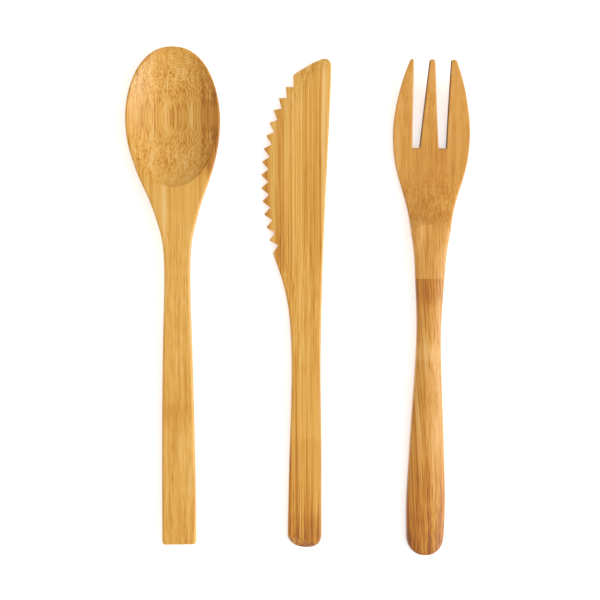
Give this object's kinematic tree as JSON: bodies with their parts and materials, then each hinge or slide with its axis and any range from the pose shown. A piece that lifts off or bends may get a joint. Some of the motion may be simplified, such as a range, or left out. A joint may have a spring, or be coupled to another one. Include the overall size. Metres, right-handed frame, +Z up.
{
  "type": "bamboo cutlery set",
  "caption": "Carved bamboo spoon, serrated knife and three-tined fork lying side by side, for eating with and reusing.",
  "frame": {"origin": "on the table, under the centre of the three pieces' common box", "axes": "+Y from the handles' ends to the tips, +Z up from the table, +X from the spoon to the fork"},
  "size_m": [0.1378, 0.2032, 0.0101],
  "materials": {
    "spoon_bamboo": "sanded bamboo, satin oil",
    "knife_bamboo": "sanded bamboo, satin oil",
    "fork_bamboo": "sanded bamboo, satin oil"
  },
  "bodies": {
    "root": {"spoon": "spoon_bamboo", "knife": "knife_bamboo", "fork": "fork_bamboo"}
  },
  "joints": []
}
